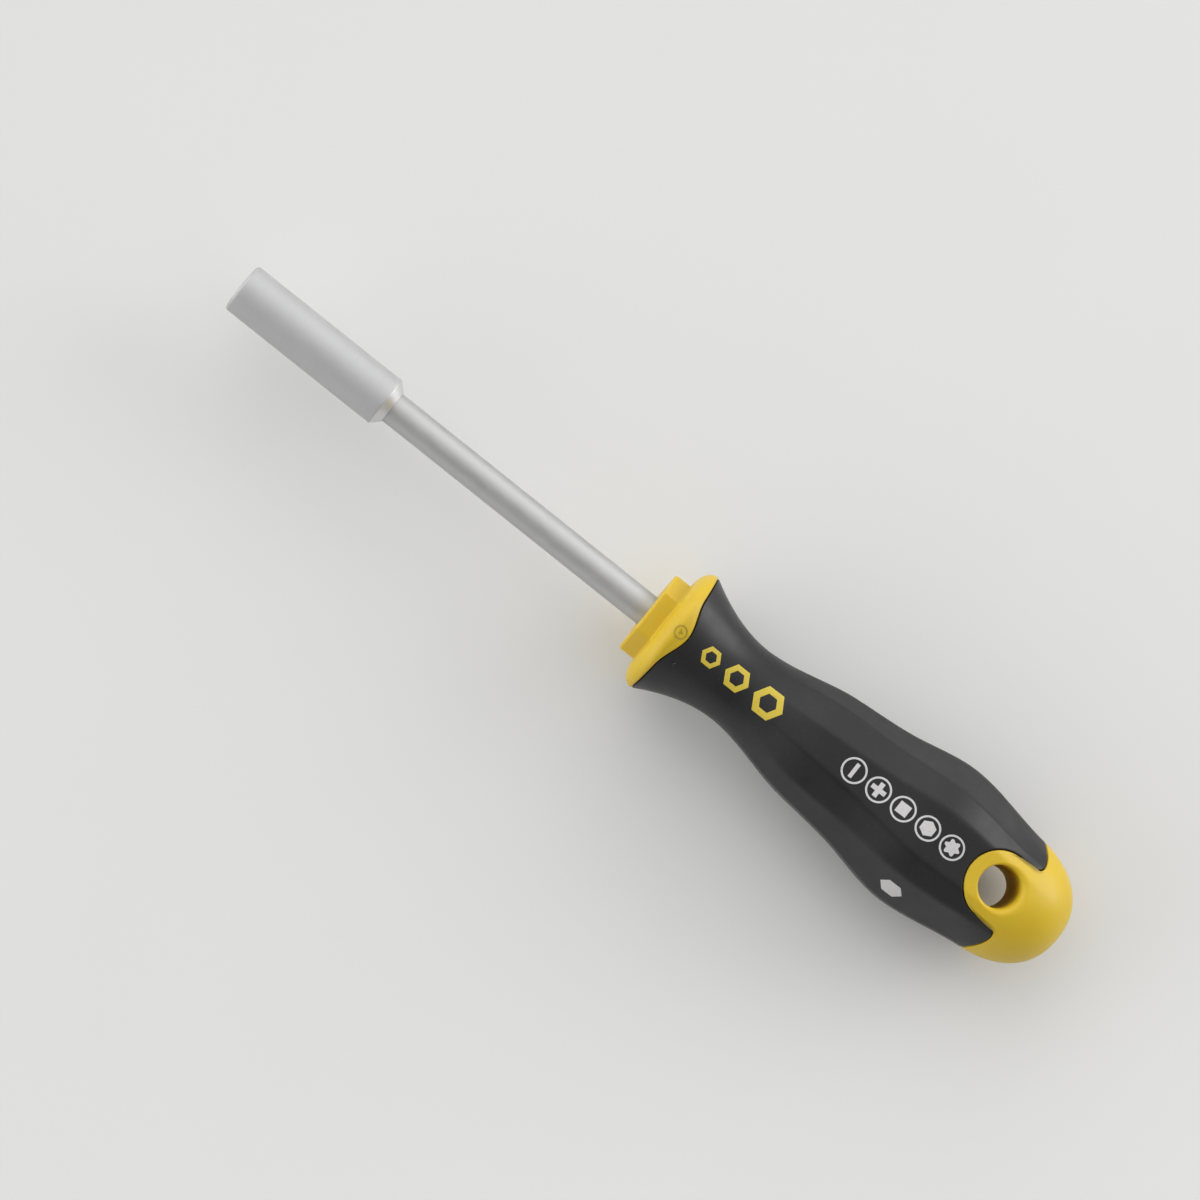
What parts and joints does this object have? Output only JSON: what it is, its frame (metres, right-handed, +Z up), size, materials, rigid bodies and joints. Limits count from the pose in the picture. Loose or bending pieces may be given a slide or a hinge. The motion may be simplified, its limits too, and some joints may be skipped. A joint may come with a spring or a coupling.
{
  "type": "bit holder screwdriver",
  "caption": "Hand-held bit holder: soft-gripped moulded handle with hex collar and hanging hole, round steel blade and a magnetic hex socket sleeve for quarter-inch bits.",
  "frame": {"origin": "centre of the bit seat, which is the magnet's front face at the bottom of the hex socket, on the tool's axis", "axes": "+X along the tool's axis out of the socket, +Z up along the hanging hole's axis, +Y to the left seen from the handle; the tool lies on its side as laid on a table"},
  "size_m": [0.2013, 0.0312, 0.0296],
  "materials": {
    "shell_plastic": "satin moulded yellow",
    "core_plastic": "plain moulded, hidden",
    "grip_rubber": "matt soft-touch black",
    "blade_steel": "satin chromed",
    "sleeve_steel": "matt chromed",
    "magnet": "nickel plated",
    "spring_wire": "drawn spring wire"
  },
  "bodies": {
    "tool": {"handle_shell": "shell_plastic", "inner_core": "core_plastic", "soft_grip": "grip_rubber", "blade": "blade_steel", "bit_sleeve": "sleeve_steel", "seat_magnet": "magnet"},
    "ring": {"retaining_ring": "spring_wire"}
  },
  "joints": [
    {"name": "ring_turn", "type": "hinge", "parent": "tool", "child": "ring", "pos_m": [0.01, 0, 0], "axis": [1, 0, 0], "continuous": true}
  ]
}
